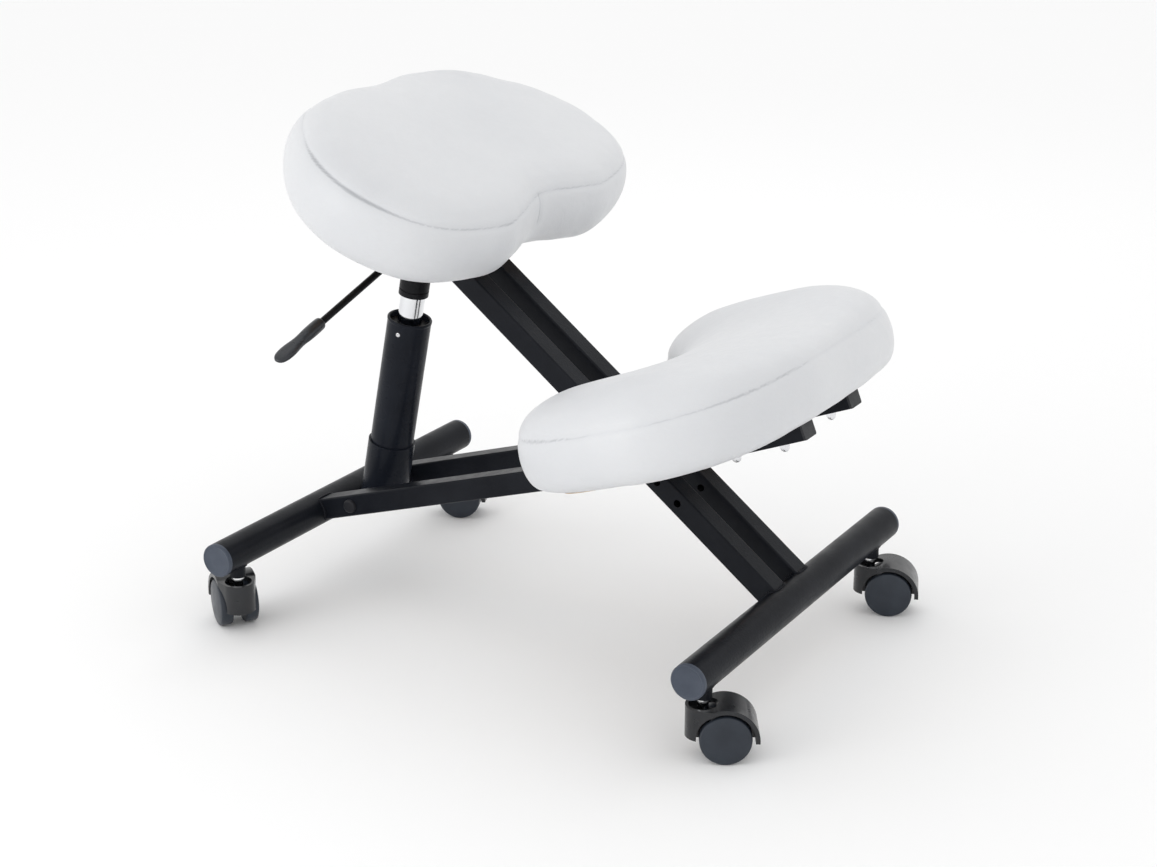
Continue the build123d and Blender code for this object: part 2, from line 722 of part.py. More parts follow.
# ---- casters ------------------------------------------------------------------------
crown = wheel_radius - 2
dome_radius = (crown**2 + wheel_dome**2) / (2 * wheel_dome)
dome_middle = wheel_outer + wheel_dome - dome_radius + sqrt(dome_radius**2 - (crown / 2) ** 2)
with BuildPart() as wheel_shape:
    with BuildSketch(Plane.XZ):
        bore = wheel_pin_radius + fit
        with BuildLine():
            Polyline((0, wheel_outer + wheel_dome), (0, wheel_outer - 1.8),
                     (bore, wheel_outer - 1.8), (bore, wheel_inner),
                     (wheel_radius - 1.5, wheel_inner), (wheel_radius, wheel_inner + 1.5),
                     (wheel_radius, wheel_outer - 2), (crown, wheel_outer))
            ThreePointArc((crown, wheel_outer), (crown / 2, dome_middle),
                          (0, wheel_outer + wheel_dome))
        make_face()
    revolve(axis=Axis.Z)


def make_caster(name, stem, heading):
    """A twin-wheel caster: hood, wheel pin and two wheels, turned to its heading."""
    turn = radians(heading)
    along = Vector(cos(turn), sin(turn), 0)
    across = Vector(-sin(turn), cos(turn), 0)
    plan = Plane(origin=stem, x_dir=along, z_dir=(0, 0, 1))
    profile = Plane(origin=stem, x_dir=along, z_dir=-across)
    hub = (trail, wheel_radius)
    pocket = wheel_radius + hood_play
    fender = pocket + hood_wall

    with BuildPart() as hood:
        with BuildSketch(plan.offset(hood_bottom)):
            Circle(cup_radius)
            with Locations((trail + fender - 20, 0)):
                Rectangle(56, 2 * hood_half_width)
            make_hull()
        extrude(amount=cup_top + 4 - hood_bottom)
        with BuildSketch(profile):
            with Locations(hub):
                Circle(fender)
            with BuildLine():
                Polyline((-cup_radius, hood_bottom - 8), (-cup_radius, cup_top), (8, cup_top),
                         (trail, wheel_radius + fender), (trail, hood_bottom - 8), close=True)
            make_face()
        extrude(amount=hood_half_width + 1, both=True, mode=Mode.INTERSECT)
        for side in (-1, 1):
            with BuildSketch(Plane(origin=stem + across * (side * (wheel_inner - 0.5)),
                                   x_dir=along, z_dir=-across)):
                with Locations(hub):
                    Circle(pocket)
            extrude(amount=-side * 2 * hood_half_width, mode=Mode.SUBTRACT)
        with BuildSketch(profile):
            with Locations(hub):
                Circle(9)
        extrude(amount=wheel_inner - 0.5, both=True)
        with BuildSketch(plan.offset(cup_top - 8)):
            Circle(cup_radius - 3)
        extrude(amount=12, mode=Mode.SUBTRACT)
        with BuildSketch(plan.offset(hood_bottom + 10)):
            Circle(stem_radius + fit)
        extrude(amount=40, mode=Mode.SUBTRACT)
        with BuildSketch(profile):
            with Locations(hub):
                Circle(wheel_pin_radius + 0.02)
        extrude(amount=wheel_inner, both=True, mode=Mode.SUBTRACT)
    save(hood.part, f"{name}_hood")

    with BuildPart() as pin:
        with BuildSketch(profile):
            with Locations(hub):
                Circle(wheel_pin_radius)
        extrude(amount=wheel_outer - 2, both=True)
    save(pin.part, f"{name}_wheel_pin")

    centre = stem + along * trail + Vector(0, 0, wheel_radius)
    for hand, side in (("inner", 1), ("outer", -1)):
        facing = Plane(origin=centre, x_dir=along, z_dir=across * side)
        save(facing.location * wheel_shape.part, f"{name}_{hand}_wheel")


for end, axle in (("front", front_axle), ("rear", rear_axle)):
    for name, side in sides.items():
        stem_place = Vector(axle.X, side * (axle_length / 2 - caster_inset), 0)
        make_caster(f"{end}_{name}", stem_place, headings[f"{end}_{name}"])

print("seat pivot", seat_pivot, "column pivot", column_pivot, "crossing", cross)
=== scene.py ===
# %% [markdown]
# # A kneeling chair, built around its own mechanism
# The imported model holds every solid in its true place: tubes, axles, casters, the gas lift.
# We load it as a fixed frame and never move it.  What follows gives each solid its real finish,
# and swaps the plain cushions, wheels, caps and handle for shapes that look like the real ones.

# %% Load the frame
import json

import bmesh
import bpy
import numpy as np
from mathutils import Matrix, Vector


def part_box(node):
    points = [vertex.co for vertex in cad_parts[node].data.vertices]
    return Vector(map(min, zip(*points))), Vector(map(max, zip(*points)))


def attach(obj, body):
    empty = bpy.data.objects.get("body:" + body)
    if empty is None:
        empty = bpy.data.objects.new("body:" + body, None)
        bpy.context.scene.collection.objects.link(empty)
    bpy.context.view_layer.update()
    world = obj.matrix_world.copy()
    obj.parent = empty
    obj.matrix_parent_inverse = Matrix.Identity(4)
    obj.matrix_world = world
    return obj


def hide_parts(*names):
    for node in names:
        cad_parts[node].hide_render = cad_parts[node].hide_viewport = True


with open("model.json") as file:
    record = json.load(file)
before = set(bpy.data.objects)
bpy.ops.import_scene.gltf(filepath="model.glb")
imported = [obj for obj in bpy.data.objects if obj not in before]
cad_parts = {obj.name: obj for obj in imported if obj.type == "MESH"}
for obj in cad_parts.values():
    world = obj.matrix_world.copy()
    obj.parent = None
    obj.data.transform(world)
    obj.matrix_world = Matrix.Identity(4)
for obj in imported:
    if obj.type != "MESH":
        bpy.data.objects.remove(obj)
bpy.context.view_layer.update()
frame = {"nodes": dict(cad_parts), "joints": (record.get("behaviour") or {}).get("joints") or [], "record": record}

MM = 0.001
joints = {joint["name"]: joint for joint in frame["joints"]}

# %% [markdown]
# ## Points of reference
# Nothing is placed by eye.  The pivot bolts are short tubes in the frame, so the middle of a
# spacer's box is a pivot.  From the seat pivot and the crossing pivot come the two cushions'
# planes, and the lift's axis comes from the joint that slides along it.

# %% Pivots and directions


def unit(*parts):
    """The direction with these parts: each divided by the root of the sum of squares."""
    line = np.array(parts, float)
    return line / np.linalg.norm(line)


def middle(node):
    """Half-way between the lowest and the highest corner of a solid's box."""
    low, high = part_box(node)
    return (np.array(low) + np.array(high)) / 2


def slope_pair(degrees):
    """Forward and upward directions of a surface that rises forwards by this angle."""
    angle = np.radians(degrees)
    return unit(np.cos(angle), 0, np.sin(angle)), unit(-np.sin(angle), 0, np.cos(angle))


front_axle = middle("front_axle_tube")
rear_axle = middle("rear_axle_tube")
seat_pivot = middle("seat_pivot_spacer")
crossing = middle("cross_spacer")
column_foot = middle("column_spacers")
column_up = unit(*joints["seat_lift"]["axis"])
column_forward = unit(column_up[2], 0, -column_up[0])
sideways = np.array((0.0, 1.0, 0.0))
print("seat pivot %.0f mm above the floor" % (seat_pivot[2] / MM))

# %% [markdown]
# ## Surfaces from arrays
# Every new piece is a grid of points worked out with numpy: rows one way, columns the other.
# Neighbouring points make a four-sided face.  Where a row shrinks to one point, at a pole, the
# doubled points are merged, and then the faces are turned to look outwards.

# %% Grid to mesh


def surface(name, points, loop_rows=False, cap_ends=False):
    """Mesh over a grid of points, rows by columns, whose columns always run round and close."""
    rows, columns = points.shape[:2]
    index = np.arange(rows * columns).reshape(rows, columns)
    grid = np.concatenate([index, index[:, :1]], axis=1)
    if loop_rows:
        grid = np.concatenate([grid, grid[:1]], axis=0)
    faces = np.stack([grid[:-1, :-1], grid[:-1, 1:], grid[1:, 1:], grid[1:, :-1]], axis=-1)
    faces = faces.reshape(-1, 4).tolist()
    if cap_ends:
        faces += [index[0, ::-1].tolist(), index[-1].tolist()]
    mesh = bpy.data.meshes.new(name)
    mesh.from_pydata(points.reshape(-1, 3).tolist(), [], faces)
    return mesh


def finished(name, meshes, body, slot_name, stands_for=(), sharp=40):
    """One object from several meshes, merged, facing out, smooth, riding on its body."""
    whole = bmesh.new()
    for mesh in meshes:
        whole.from_mesh(mesh)
    bmesh.ops.remove_doubles(whole, verts=whole.verts, dist=2e-6)
    bmesh.ops.recalc_face_normals(whole, faces=whole.faces)
    data = bpy.data.meshes.new(name)
    whole.to_mesh(data)
    whole.free()
    data.shade_smooth()
    data.set_sharp_from_angle(angle=np.radians(sharp))
    data.materials.append(finishes[slot_name])
    piece = bpy.data.objects.new(name, data)
    bpy.context.scene.collection.objects.link(piece)
    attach(piece, body)
    if stands_for:
        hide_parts(*stands_for)
    return piece


def turned(profile, origin, axis, steps=72):
    """A turned part: at angle a, the point origin + axis*along + radius*(u cos a + v sin a)."""
    profile = np.asarray(profile, float) * MM
    angle = np.linspace(0, 2 * np.pi, steps, endpoint=False)
    axis = unit(*axis)
    across = unit(*np.cross(axis, (0.13, 0.31, 0.94)))
    around = np.cos(angle)[:, None] * across + np.sin(angle)[:, None] * np.cross(axis, across)
    return origin + profile[:, 1, None, None] * axis + profile[:, 0, None, None] * around


def bead(path, radius, ripple=0.0, ripples=0, sides=10):
    """Tube along a closed path; its radius is radius*(1 + ripple*sin(ripples*turn))."""
    forward = np.roll(path, -1, axis=0) - np.roll(path, 1, axis=0)
    forward /= np.linalg.norm(forward, axis=1)[:, None]
    centre = path.mean(axis=0)
    outward = path - centre
    outward -= (outward * forward).sum(axis=1)[:, None] * forward
    outward /= np.linalg.norm(outward, axis=1)[:, None]
    other = np.cross(forward, outward)
    turn = np.linspace(0, 2 * np.pi, len(path), endpoint=False)
    size = radius * (1 + ripple * np.sin(ripples * turn))
    angle = np.linspace(0, 2 * np.pi, sides, endpoint=False)
    ring = outward[:, None] * np.cos(angle)[None, :, None] + other[:, None] * np.sin(angle)[None, :, None]
    return path[:, None] + size[:, None, None] * ring


print("surface helpers ready")

# %% [markdown]
# ## Finishes
# A finish is a node material.  A noise pattern read in the object's own coordinates moves the
# colour and the roughness a little, and feeds a bump for the grain.  Real powder coat has an
# orange-peel skin, moulded plastic a fine grain, and leatherette a pebbled one with soft sheen.
# Anything that is the same all over is set straight on the shader.

# %% Helpers for node materials


def new_finish(name, **sockets):
    """A material with its shader's constant sockets set, and the bits needed to add patterns."""
    material = bpy.data.materials.new(name)
    material.use_nodes = True
    tree = material.node_tree
    shader = tree.nodes["Principled BSDF"]
    for socket, value in sockets.items():
        shader.inputs[socket.replace("_", " ")].default_value = value
    place = tree.nodes.new("ShaderNodeTexCoord").outputs["Object"]
    return material, tree, shader, place


def noise(tree, place, scale, detail=3.0, stretch=None):
    """Noise of this many features to the metre, drawn out along an axis if stretch is given."""
    node = tree.nodes.new("ShaderNodeTexNoise")
    node.inputs["Scale"].default_value = scale
    node.inputs["Detail"].default_value = detail
    if stretch:
        mapping = tree.nodes.new("ShaderNodeMapping")
        mapping.inputs["Scale"].default_value = stretch
        tree.links.new(place, mapping.inputs["Vector"])
        place = mapping.outputs["Vector"]
    tree.links.new(place, node.inputs["Vector"])
    return node.outputs["Fac"]


def tint(tree, shader, factor, dark, light):
    """Base colour that runs from dark to light as the pattern goes from 0.3 to 0.7."""
    ramp = tree.nodes.new("ShaderNodeValToRGB")
    ramp.color_ramp.elements[0].position = 0.3
    ramp.color_ramp.elements[0].color = (*dark, 1)
    ramp.color_ramp.elements[1].position = 0.7
    ramp.color_ramp.elements[1].color = (*light, 1)
    tree.links.new(factor, ramp.inputs["Fac"])
    tree.links.new(ramp.outputs["Color"], shader.inputs["Base Color"])
    return ramp


def gloss(tree, shader, factor, low, high):
    """Roughness that runs from low to high with the pattern."""
    scale = tree.nodes.new("ShaderNodeMapRange")
    scale.inputs["From Min"].default_value = 0.3
    scale.inputs["From Max"].default_value = 0.7
    scale.inputs["To Min"].default_value = low
    scale.inputs["To Max"].default_value = high
    tree.links.new(factor, scale.inputs["Value"])
    tree.links.new(scale.outputs["Result"], shader.inputs["Roughness"])


def relief(tree, shader, *layers):
    """Bump from one or more (pattern, height in metres) layers, the last on top."""
    below = None
    for factor, height in layers:
        bump = tree.nodes.new("ShaderNodeBump")
        bump.inputs["Distance"].default_value = height
        tree.links.new(factor, bump.inputs["Height"])
        if below:
            tree.links.new(below, bump.inputs["Normal"])
        below = bump.outputs["Normal"]
    tree.links.new(below, shader.inputs["Normal"])


finishes = {}
print("node helpers ready")

# %% [markdown]
# ### Painted steel
# Powder coat is baked dust: even in colour, slightly wavy in the light.  The satin of the frame
# is rougher than the drawn tube of the column.

# %% Painted steel


def powder_coat(name, dark, light, rough, peel):
    material, tree, shader, place = new_finish(name, Specular_IOR_Level=0.09, Coat_Weight=0.03, Coat_Roughness=0.15)
    tint(tree, shader, noise(tree, place, 18, 4), dark, light)
    gloss(tree, shader, noise(tree, place, 60, 3), rough - 0.05, rough + 0.07)
    relief(tree, shader, (noise(tree, place, 420, 2), peel), (noise(tree, place, 2600, 2), peel * 0.25))
    finishes[name] = material


powder_coat("frame_paint", (0.006, 0.007, 0.010), (0.011, 0.0125, 0.0165), 0.34, 0.00022)
powder_coat("column_paint", (0.007, 0.0085, 0.013), (0.012, 0.0145, 0.021), 0.28, 0.00010)
powder_coat("bracket_paint", (0.006, 0.0065, 0.008), (0.011, 0.0115, 0.0135), 0.38, 0.00025)
powder_coat("black_bolts", (0.012, 0.0125, 0.015), (0.024, 0.0245, 0.028), 0.30, 0.00008)
print("painted steel:", len(finishes))

# %% [markdown]
# ### Bright metal
# Chrome is a mirror with faint wipe marks.  Ground steel has lines along the part, so its noise
# is drawn out a hundredfold one way.

# %% Bright metal


def bright_metal(name, dark, light, low, high, stretch, scratch):
    material, tree, shader, place = new_finish(name, Metallic=1.0)
    lines = noise(tree, place, 900, 4, stretch)
    tint(tree, shader, noise(tree, place, 25, 3), dark, light)
    gloss(tree, shader, lines, low, high)
    relief(tree, shader, (lines, scratch))
    finishes[name] = material


bright_metal("chrome", (0.74, 0.75, 0.77), (0.83, 0.84, 0.85), 0.05, 0.12, (1, 1, 0.02), 0.000006)
bright_metal("bright_nuts", (0.66, 0.67, 0.69), (0.80, 0.80, 0.82), 0.16, 0.28, (1, 1, 0.3), 0.00001)
bright_metal("inner_steel", (0.50, 0.50, 0.52), (0.62, 0.62, 0.63), 0.22, 0.36, (1, 1, 0.03), 0.00001)
print("bright metal done:", len(finishes))

# %% [markdown]
# ### Moulded plastic and rubber
# The tube caps are blue-grey with an eroded grain, the caster hoods half gloss, the wheels
# smoother still.

# %% Plastics


def moulded(name, dark, light, rough, grain, grain_scale, **sockets):
    material, tree, shader, place = new_finish(name, Specular_IOR_Level=0.35, **sockets)
    tint(tree, shader, noise(tree, place, 35, 5), dark, light)
    gloss(tree, shader, noise(tree, place, 90, 4), rough - 0.05, rough + 0.08)
    relief(tree, shader, (noise(tree, place, 160, 2), grain * 0.6), (noise(tree, place, grain_scale, 2), grain))
    finishes[name] = material


moulded("cap_plastic", (0.046, 0.057, 0.080), (0.068, 0.082, 0.110), 0.46, 0.00012, 2400)
moulded("plug_plastic", (0.016, 0.017, 0.020), (0.030, 0.031, 0.034), 0.5, 0.0001, 2400)
moulded("hood_plastic", (0.008, 0.009, 0.011), (0.014, 0.015, 0.018), 0.3, 0.00004, 1500, Coat_Weight=0.25)
moulded("wheel_plastic", (0.018, 0.023, 0.032), (0.028, 0.035, 0.047), 0.34, 0.00005, 1500)
moulded("handle_plastic", (0.013, 0.015, 0.019), (0.022, 0.025, 0.031), 0.3, 0.00004, 1800, Coat_Weight=0.3)
moulded("bush_plastic", (0.020, 0.020, 0.022), (0.032, 0.032, 0.035), 0.45, 0.00006, 1800)
moulded("bump_rubber", (0.018, 0.018, 0.018), (0.032, 0.031, 0.030), 0.75, 0.0002, 1200)
print("plastics done:", len(finishes))

# %% [markdown]
# ### Plywood boards
# Each cushion sits on a board.  Its face veneer has long grain, so rings of noise are stretched
# across the chair.

# %% Plywood


def plywood(name):
    material, tree, shader, place = new_finish(name)
    grain = noise(tree, place, 90, 8, (1, 0.06, 1))
    tint(tree, shader, grain, (0.36, 0.22, 0.11), (0.60, 0.42, 0.24))
    gloss(tree, shader, noise(tree, place, 240, 4, (1, 0.1, 1)), 0.5, 0.7)
    relief(tree, shader, (grain, 0.0003))
    finishes[name] = material


plywood("board_wood")
print("plywood done:", len(finishes))

# %% [markdown]
# ### White leatherette
# The cover is white vinyl with a barely pebbled grain and a soft sheen.  A stored value on each
# cushion says how near a point is to a seam: there the colour is painted greyer, as shade in the groove, and the
# cover dips.

# %% Leatherette


def leatherette(name):
    material, tree, shader, place = new_finish(
        name, Sheen_Weight=0.12, Sheen_Roughness=0.45, Coat_Weight=0.12, Coat_Roughness=0.35,
        Subsurface_Weight=0.08, Subsurface_Scale=0.004)
    shader.inputs["Subsurface Radius"].default_value = (1.0, 0.9, 0.8)
    seam = tree.nodes.new("ShaderNodeAttribute")
    seam.attribute_name = "seam"
    broad = noise(tree, place, 7, 3)
    blend = tree.nodes.new("ShaderNodeMath")
    blend.operation = "MULTIPLY_ADD"
    blend.inputs[1].default_value = -0.55
    tree.links.new(seam.outputs["Fac"], blend.inputs[0])
    tree.links.new(broad, blend.inputs[2])
    ramp = tint(tree, shader, blend.outputs["Value"], (0.635, 0.645, 0.665), (0.675, 0.684, 0.70))
    # The darkest stop, reached where the seam value is high, is painted shade in the seams' grooves; where the
    # broad noise runs low it also greys the cover a little at random.
    seam_shade_stop = ramp.color_ramp.elements.new(0.0)
    seam_shade_stop.color = (0.40, 0.41, 0.43, 1)
    gloss(tree, shader, noise(tree, place, 120, 3), 0.38, 0.5)
    pebble = tree.nodes.new("ShaderNodeTexVoronoi")
    pebble.inputs["Scale"].default_value = 900
    tree.links.new(place, pebble.inputs["Vector"])
    relief(tree, shader, (noise(tree, place, 26, 3), 0.0011), (noise(tree, place, 420, 3), 0.00018),
           (pebble.outputs["Distance"], 0.00010))
    finishes[name] = material


leatherette("white_leatherette")
print("finishes:", len(finishes))

# %% [markdown]
# ## Dress the carried-over solids
# The record says which finish each solid takes, so one short loop paints them all.

# %% Paint every solid
for part in frame["record"]["subparts"]:
    data = frame["nodes"][part["node"]].data
    data.materials.clear()
    data.materials.append(finishes[part["material_slot"]])

# %% [markdown]
# ## The cushions
# A foam cushion is a board with a block of foam glued on and a cover pulled over.  Its sides
# bulge, its top edge is sewn, and its top is domed.  We draw the outline through a few points,
# round the side by a power curve, remesh it evenly, dome the top by how far each point is from
# the edge, and then let a cloth simulation under light air pressure relax and swell the cover.
# Seams come last, because the remesh would rub them out.

# %% Outline and side of a cushion


def smooth_loop(half, count):
    """Closed curve through half an outline and its mirror image.  Between two neighbours it is
    the cubic whose slope at each is half the line between the points on either side of it."""
    half = np.asarray(half, float) * MM
    ring = np.vstack([half, half[-2:0:-1] * (1, -1)])
    place = np.arange(count) / count * len(ring)
    start = place.astype(int)
    t = (place - start)[:, None]
    a, b, c, d = (ring[(start + step) % len(ring)] for step in (-1, 0, 1, 2))
    return (2 * b + (c - a) * t + (2 * a - 5 * b + 4 * c - d) * t**2 + (3 * b - a - 3 * c + d) * t**3) / 2


def inward(loop):
    """Unit vectors square to the outline, pointing into it."""
    along = np.roll(loop, -1, axis=0) - np.roll(loop, 1, axis=0)
    along /= np.linalg.norm(along, axis=1)[:, None]
    return np.stack([along[:, 1], -along[:, 0]], axis=1)


def cushion_shell(name, loop, thickness, inset_power, height_power, rows=17):
    """Side of a cushion: at side angle p from -90 to 90 degrees, the outline drawn in by
    (1 - cos(p)^inset_power) * thickness/2, at height (1 + sin(p)^height_power) * thickness/2."""
    angle = np.linspace(-np.pi / 2, np.pi / 2, rows)
    inset = (1 - np.abs(np.cos(angle)) ** inset_power) * thickness / 2
    height = np.sign(np.sin(angle)) * np.abs(np.sin(angle)) ** height_power * thickness / 2
    plan = loop[None] + inward(loop)[None] * inset[:, None, None]
    level = np.broadcast_to((height + thickness / 2)[:, None, None], (*plan.shape[:2], 1))
    return surface(name, np.concatenate([plan, level], axis=2), cap_ends=True)


def edge_distance(plan, loop):
    """Distance from each point of the plan to the nearest point of the outline."""
    gap = plan[:, None, :] - loop[None, :, :]
    return np.sqrt((gap**2).sum(axis=2).min(axis=1))


print("cushion helpers ready")

# %% Remesh, swell, place


def vertices(mesh):
    flat = np.empty(len(mesh.vertices) * 3)
    mesh.vertices.foreach_get("co", flat)
    return flat.reshape(-1, 3)


def write_vertices(mesh, points):
    mesh.vertices.foreach_set("co", np.ascontiguousarray(points).ravel())
    mesh.update()


def baked(piece):
    """The piece's mesh as its modifiers leave it."""
    graph = bpy.context.evaluated_depsgraph_get()
    graph.update()
    return bpy.data.meshes.new_from_object(piece.evaluated_get(graph))


def remeshed(mesh, voxel):
    """The same shape as even quads, voxel apart."""
    piece = bpy.data.objects.new(mesh.name, mesh)
    bpy.context.scene.collection.objects.link(piece)
    remesh = piece.modifiers.new("even quads", "REMESH")
    remesh.mode = "VOXEL"
    remesh.voxel_size = voxel
    piece.data = baked(piece)
    piece.modifiers.clear()
    return piece


def swell(piece, furthest, pressure=4.0, frames=20):
    """Cloth under air pressure with no gravity, run for some frames, each point then moved by
    the cloth's own shift, cut down where it is longer than the furthest allowed."""
    scene = bpy.context.scene
    rest = vertices(piece.data)
    cloth = piece.modifiers.new("cover", "CLOTH")
    cloth.settings.use_pressure = True
    cloth.settings.uniform_pressure_force = pressure
    cloth.settings.effector_weights.gravity = 0
    cloth.settings.quality = 5
    for frame_number in range(1, frames + 1):
        scene.frame_set(frame_number)
    shift = vertices(baked(piece)) - rest
    piece.modifiers.clear()
    scene.frame_set(1)
    length = np.linalg.norm(shift, axis=1)[:, None]
    write_vertices(piece.data, rest + shift * np.minimum(1, furthest / np.maximum(length, 1e-9)))
    return float(length.max())


def normals(mesh):
    flat = np.empty(len(mesh.vertices) * 3)
    mesh.vertex_normals.foreach_get("vector", flat)
    return flat.reshape(-1, 3)


def bell(distance, width):
    """Smooth bump of height one: e to the minus (distance/width) squared."""
    return np.exp(-((distance / width) ** 2))


print("simulation helpers ready")

# %% [markdown]
# One function makes both cushions: only the numbers differ.  The dome is
# `crown * (1 - (1 - d/reach)^2)` for a point a distance d in from the edge, and stays flat
# beyond the reach.  The underside is left flat, because it rests on the board.

# %% A whole cushion


def make_cushion(name, half, thickness, powers, crown, reach, lift, voxel, furthest):
    """Shell, remesh, dome, swell and subdivide; returns the piece in its own flat plane."""
    loop = smooth_loop(half, 360)
    small = loop + inward(loop) * 2.5 * MM
    piece = remeshed(cushion_shell(name, small, thickness, *powers), voxel)
    points = vertices(piece.data)
    depth = np.clip(edge_distance(points[:, :2], small) / reach, 0, 1)
    upper = np.clip(points[:, 2] / thickness, 0, 1) ** 3
    points[:, 2] += upper * (crown + lift(points)) * (1 - (1 - depth) ** 2)
    write_vertices(piece.data, points)
    moved = swell(piece, furthest)
    points = vertices(piece.data)
    points[:, 2] = np.maximum(points[:, 2], 0.8 * MM)
    write_vertices(piece.data, points)
    smooth = piece.modifiers.new("fair", "SMOOTH")
    smooth.iterations = 4
    smooth.factor = 0.5
    finer = piece.modifiers.new("finer", "SUBSURF")
    finer.levels = finer.render_levels = 1
    piece.data = baked(piece)
    piece.modifiers.clear()
    print(name, "swelled %.1f mm," % (moved / MM), len(piece.data.vertices), "points")
    return piece, loop


def sew(piece, loop, creases):
    """Presses creases into the cover.  Each crease is a distance for every point and a depth;
    the point moves in along its normal by depth * bell(distance / width), and the largest
    bell, weighted per crease, is stored as the seam value, from which the finish paints shade into the groove."""
    points, facing = vertices(piece.data), normals(piece.data)
    seam = np.zeros(len(points))
    shift = np.zeros(len(points))
    for distance, width, depth, seam_shade_weight in creases:
        press = bell(distance, width)
        shift += depth * press
        # The seam value is painted shade: the finish greys the cover where it is high.
        seam = np.maximum(seam, seam_shade_weight * bell(distance, width * 0.45))
    write_vertices(piece.data, points - facing * shift[:, None])
    store = piece.data.attributes.new("seam", "FLOAT", "POINT")
    store.data.foreach_set("value", seam)


def place_cushion(piece, origin, forward, up, body, node):
    """Moves the finished cushion from its flat plane to its seat on the chair."""
    points = vertices(piece.data)
    write_vertices(piece.data, origin + points[:, :1] * forward + points[:, 1:2] * sideways + points[:, 2:] * up)
    piece.data.shade_smooth()
    piece.data.materials.clear()
    piece.data.materials.append(finishes["white_leatherette"])
    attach(piece, body)
    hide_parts(node)


print("cushion maker ready")

# %% [markdown]
# ### Seat cushion
# A saddle: wide at the back, with a notch at the front between the thighs.  The cover's top
# panel is sewn to the side band all round, and a short gathered tuck closes the notch.

# %% Seat
seat_forward, seat_up = slope_pair(-23.0)
seat_origin = seat_pivot + seat_up * 34.2 * MM - seat_forward * 20 * MM
seat_half = [(115, 0), (128, -57), (134, -105), (112, -182), (70, -224), (0, -239),
             (-72, -213), (-133, -146), (-153, -68), (-151, 0)]
SEAT_THICKNESS = 84 * MM
seat_half = [(along * 1.015, across * 1.015) for along, across in seat_half]

seat_pad, seat_loop = make_cushion(
    "seat_pad", seat_half, SEAT_THICKNESS, (0.57, 1.13), 5 * MM, 120 * MM,
    lambda p: 0.0, 5.5 * MM, 3 * MM)

points = vertices(seat_pad.data)
rim_height = 74 * MM + 2 * MM * np.sin(points[:, 1] / (60 * MM))
around_rim = np.where(edge_distance(points[:, :2], seat_loop) < 24 * MM, points[:, 2] - rim_height, 1.0)
tuck_side = np.where((points[:, 0] > 60 * MM) & (points[:, 2] < 76 * MM) & (points[:, 2] > 42 * MM),
                     points[:, 1] + 6 * MM, 1.0)
# The last number of each crease sets how dark the painted shade in its groove is.
sew(seat_pad, seat_loop, [(around_rim, 3.4 * MM, 1.1 * MM, 0.8), (tuck_side, 3.2 * MM, 1.4 * MM, 0.9)])
place_cushion(seat_pad, seat_origin, seat_forward, seat_up, "seat", "seat_cushion")

# %% [markdown]
# ### Knee cushion
# A crescent that cups the shins: its two lobes are domed higher than the bridge between them,
# so the dome grows with the square of the distance from the middle of the chair.

# %% Knee pad
rail_forward, rail_up = slope_pair(22.0)
knee_forward, knee_up = slope_pair(18.5)
knee_origin = crossing + rail_forward * 91 * MM + rail_up * 12.5 * MM
knee_half = [(162, 0), (160, -80), (148, -155), (116, -212), (60, -246), (0, -250),
             (-66, -240), (-118, -208), (-134, -155), (-112, -95), (-72, -48), (-55, 0)]
KNEE_THICKNESS = 70 * MM

knee_pad, knee_loop = make_cushion(
    "knee_pad", knee_half, KNEE_THICKNESS, (0.46, 1.0), 14 * MM, 90 * MM,
    lambda p: 14 * MM * np.clip(np.abs(p[:, 1]) / 0.2, 0, 1.2) ** 2, 5 * MM, 3 * MM)

points = vertices(knee_pad.data)
near_edge = edge_distance(points[:, :2], knee_loop) < 22 * MM
around_rim = np.where(near_edge, points[:, 2] - 60 * MM, 1.0)
# The last number of the crease sets how dark the painted shade in its groove is.
sew(knee_pad, knee_loop, [(around_rim, 3.2 * MM, 0.9 * MM, 0.6)])
place_cushion(knee_pad, knee_origin, knee_forward, knee_up, "rear_frame", "knee_cushion")

# %% [markdown]
# ## Axle end caps
# A moulded cap is turned in one go: a flat disc with a rim that stands a little proud.

# %% End caps
cap_profile = [(0, -2), (16.7, -2), (16.7, 0.1), (18.95, 0.1), (18.95, 3.4), (18.7, 4.2), (18.2, 4.8),
               (17.5, 5.0), (16.8, 4.8), (16.3, 4.3), (15.6, 4.05), (8, 4.2), (0, 4.25)]
for end, axle in (("front", front_axle), ("rear", rear_axle)):
    low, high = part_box(f"{end}_axle_tube")
    discs = [surface("cap", turned(cap_profile, axle + sideways * (y - axle[1]), sideways * side))
             for y, side in ((low[1], -1), (high[1], 1))]
    finished(f"{end}_end_caps", discs, f"{end}_frame", "cap_plastic", [f"{end}_axle_caps"], 35)
print("end caps: 4")

# %% [markdown]
# ## Wheels
# Each twin wheel is turned too: a tread, a rounded shoulder and a plain shallow dome, whose
# height falls with the square of the radius.  The spin joints already hold every hub's place
# and axis.

